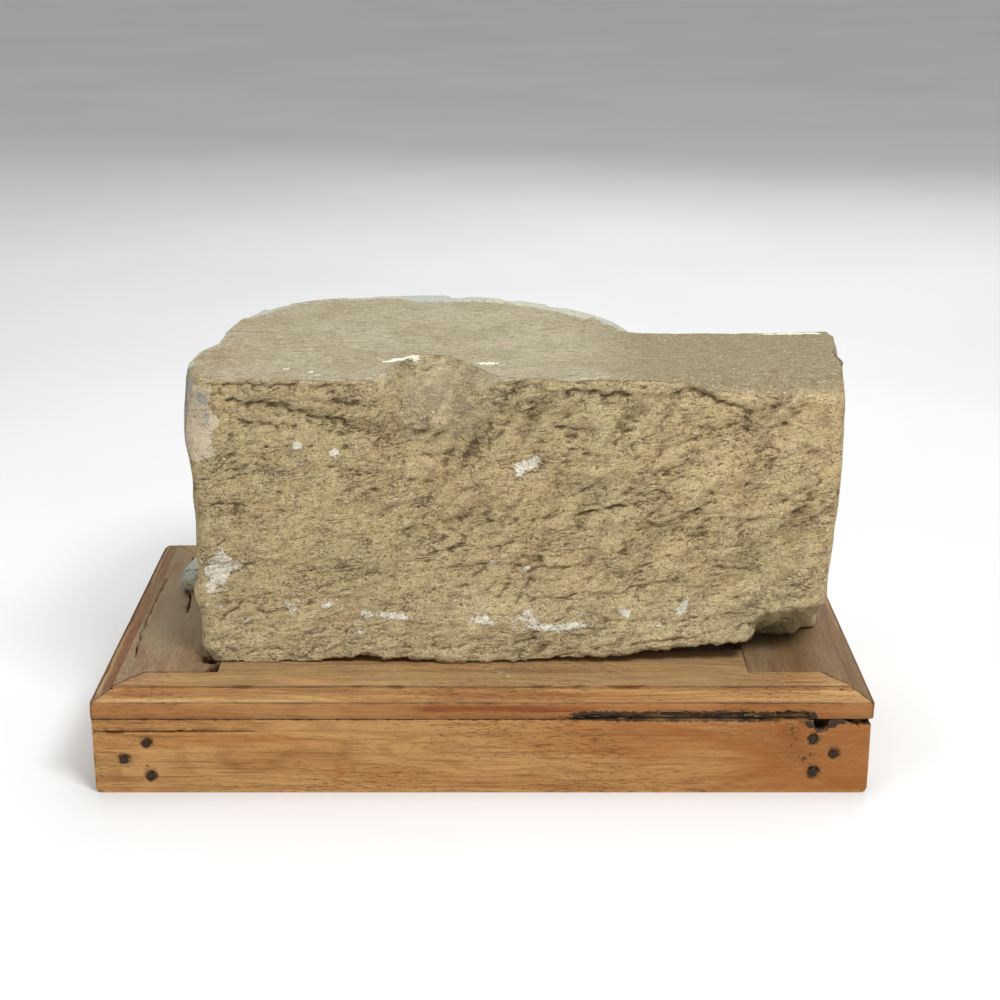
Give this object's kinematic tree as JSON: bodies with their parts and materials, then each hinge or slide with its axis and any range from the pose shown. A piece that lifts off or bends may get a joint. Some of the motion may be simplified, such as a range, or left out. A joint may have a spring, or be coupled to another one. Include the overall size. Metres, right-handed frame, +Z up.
{
  "type": "stone corbel",
  "caption": "Rough-tailed stone corbel block with a half-round moulded front, resting on a low bevelled wooden stand.",
  "frame": {"origin": "middle of the stand's underside", "axes": "+Z up, +X along the length, -Y towards the rough tail side, +Y towards the moulded half-round front"},
  "size_m": [0.51, 0.3032, 0.268],
  "materials": {
    "stone": "rough-hewn, weathered, with traces of limewash",
    "frame_wood": "old, dusty and worn",
    "board_wood": "old, lightly waxed",
    "nail_iron": "dark, dull"
  },
  "bodies": {
    "root": {"corbel": "stone", "top_rail_front": "frame_wood", "top_rail_back": "frame_wood", "top_rail_left": "frame_wood", "top_rail_right": "frame_wood", "side_board_front": "board_wood", "side_board_back": "board_wood", "side_board_left": "board_wood", "side_board_right": "board_wood", "nail_front_left_1": "nail_iron", "nail_front_left_2": "nail_iron", "nail_front_left_3": "nail_iron", "nail_front_right_1": "nail_iron", "nail_front_right_2": "nail_iron", "nail_front_right_3": "nail_iron", "nail_back_left_1": "nail_iron", "nail_back_left_2": "nail_iron", "nail_back_left_3": "nail_iron", "nail_back_right_1": "nail_iron", "nail_back_right_2": "nail_iron", "nail_back_right_3": "nail_iron"}
  },
  "joints": []
}
